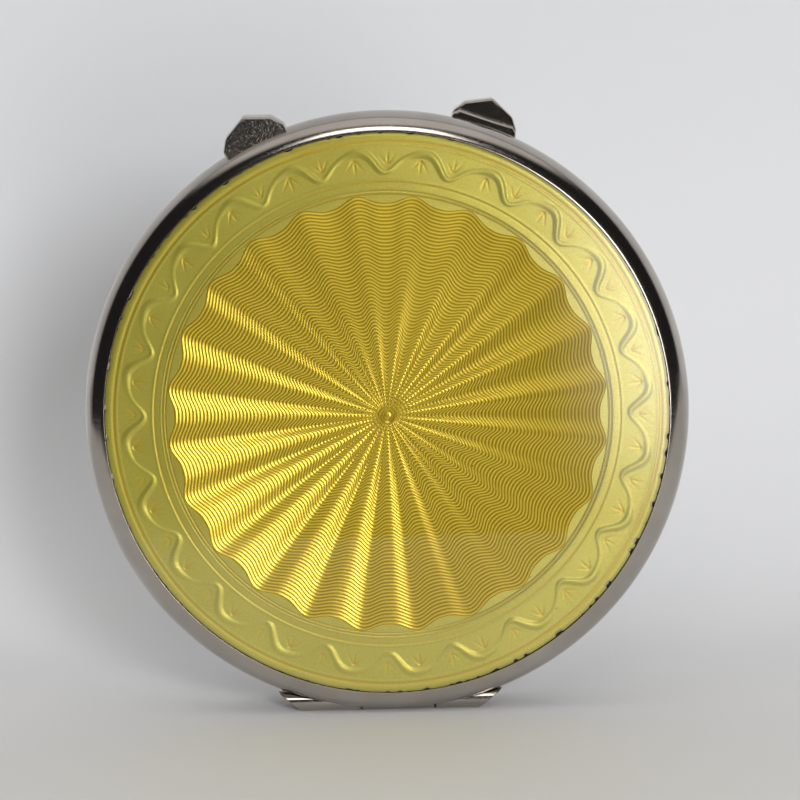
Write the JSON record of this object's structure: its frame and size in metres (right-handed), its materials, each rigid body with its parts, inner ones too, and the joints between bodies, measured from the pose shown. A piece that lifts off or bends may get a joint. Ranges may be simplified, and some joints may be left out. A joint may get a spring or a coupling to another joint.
{
  "type": "pill box",
  "caption": "Slim round box with a domed enamelled lid, a hinged mirror leaf between lid and tray, and small thumb pieces on the rim.",
  "frame": {"origin": "centre of the flat back that the box lies on, on the case's own axis", "axes": "+Z out of the enamelled lid, +Y towards the hinges, -Y towards the thumb pieces, +X to the right seen from the thumb pieces"},
  "size_m": [0.05, 0.0505, 0.0096],
  "materials": {
    "silver": "polished silver, slightly tarnished",
    "gilt": "gilt silver, satin",
    "yellow_enamel": "translucent yellow vitreous enamel, gloss",
    "mirror": "silvered glass",
    "card": "pressed card backing, matt",
    "steel": "drawn pin wire"
  },
  "bodies": {
    "base": {"base_shell": "silver", "base_bezel": "gilt", "base_thumb_piece": "silver", "base_knuckle_left": "silver", "base_knuckle_right": "silver", "hinge_pin_rear": "steel"},
    "leaf": {"leaf_ring": "silver", "leaf_plate": "gilt", "leaf_bezel": "gilt", "mirror_backing": "card", "mirror_glass": "mirror", "mirror_ring": "gilt", "leaf_knuckle_front": "silver", "leaf_knuckle_rear": "silver", "leaf_ledge_left": "silver", "leaf_ledge_right": "silver", "hinge_pin_front": "steel"},
    "lid": {"lid_rim": "silver", "guilloche_plate": "silver", "lid_enamel": "yellow_enamel", "lid_lining": "gilt", "lid_thumb_piece": "silver", "lid_knuckle_left": "silver", "lid_knuckle_right": "silver"}
  },
  "joints": [
    {"name": "leaf_hinge", "type": "hinge", "parent": "base", "child": "leaf", "pos_m": [0, 0.0243, 0.00442], "axis": [-1, 0, 0], "range_deg": [0, 90]},
    {"name": "lid_hinge", "type": "hinge", "parent": "leaf", "child": "lid", "pos_m": [0, 0.0243, 0.00677], "axis": [-1, 0, 0], "range_deg": [0, 90]}
  ]
}
